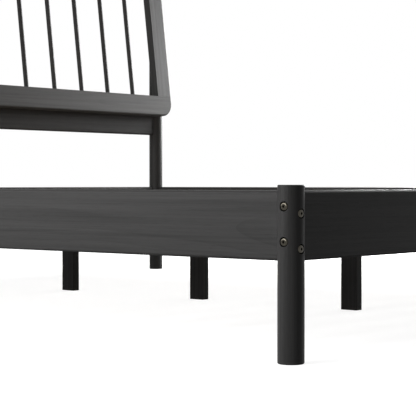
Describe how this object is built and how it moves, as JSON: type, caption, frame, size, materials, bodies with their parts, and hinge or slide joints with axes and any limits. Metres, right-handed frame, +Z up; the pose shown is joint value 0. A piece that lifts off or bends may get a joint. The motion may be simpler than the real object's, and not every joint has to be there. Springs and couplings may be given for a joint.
{
  "type": "spindle bed",
  "caption": "Low platform bed frame on round posts with bolted rails, slats on a centre beam, and a reclined headboard of round spindles in a rounded frame.",
  "frame": {"origin": "on the floor, in the middle of the bed's outer box", "axes": "+Z up, +Y from the foot to the head, +X to the right for someone at the foot who looks to the head"},
  "size_m": [2.048, 2.1924, 1.2185],
  "materials": {
    "stained_wood": "black stain with a satin clear coat, grain faintly visible",
    "slat_wood": "plain planed softwood",
    "dowel_wood": "plain beech",
    "bolt_metal": "dark nickel plate, polished",
    "zinc_steel": "bright zinc plate",
    "bracket_steel": "black powder coat"
  },
  "bodies": {
    "root": {"foot_post_left": "stained_wood", "foot_post_right": "stained_wood", "head_leg_left": "stained_wood", "head_leg_right": "stained_wood", "side_rail_left": "stained_wood", "side_rail_right": "stained_wood", "foot_rail": "stained_wood", "head_rail": "stained_wood", "headboard_cross_rail": "stained_wood", "headboard_bottom_rail": "stained_wood", "headboard_top_rail": "stained_wood", "headboard_stile_left": "stained_wood", "headboard_stile_right": "stained_wood", "spindle_01": "stained_wood", "spindle_02": "stained_wood", "spindle_03": "stained_wood", "spindle_04": "stained_wood", "spindle_05": "stained_wood", "spindle_06": "stained_wood", "spindle_07": "stained_wood", "spindle_08": "stained_wood", "spindle_09": "stained_wood", "spindle_10": "stained_wood", "spindle_11": "stained_wood", "spindle_12": "stained_wood", "spindle_13": "stained_wood", "centre_beam": "stained_wood", "support_leg_foot": "stained_wood", "support_leg_middle": "stained_wood", "support_leg_head": "stained_wood", "slat_ledger_left": "stained_wood", "slat_ledger_right": "stained_wood", "slat_01": "slat_wood", "slat_02": "slat_wood", "slat_03": "slat_wood", "slat_04": "slat_wood", "slat_05": "slat_wood", "slat_06": "slat_wood", "slat_07": "slat_wood", "slat_08": "slat_wood", "slat_09": "slat_wood", "slat_10": "slat_wood", "slat_11": "slat_wood", "slat_12": "slat_wood", "slat_13": "slat_wood", "slat_14": "slat_wood", "slat_15": "slat_wood", "frame_dowels": "dowel_wood", "rail_bolts": "bolt_metal", "headboard_bolts": "bolt_metal", "barrel_nuts": "zinc_steel", "headboard_inserts": "zinc_steel", "slat_screws": "zinc_steel", "ledger_screws": "zinc_steel", "hanger_screws": "zinc_steel", "leg_studs": "zinc_steel", "beam_hanger_foot": "bracket_steel", "beam_hanger_head": "bracket_steel"}
  },
  "joints": []
}
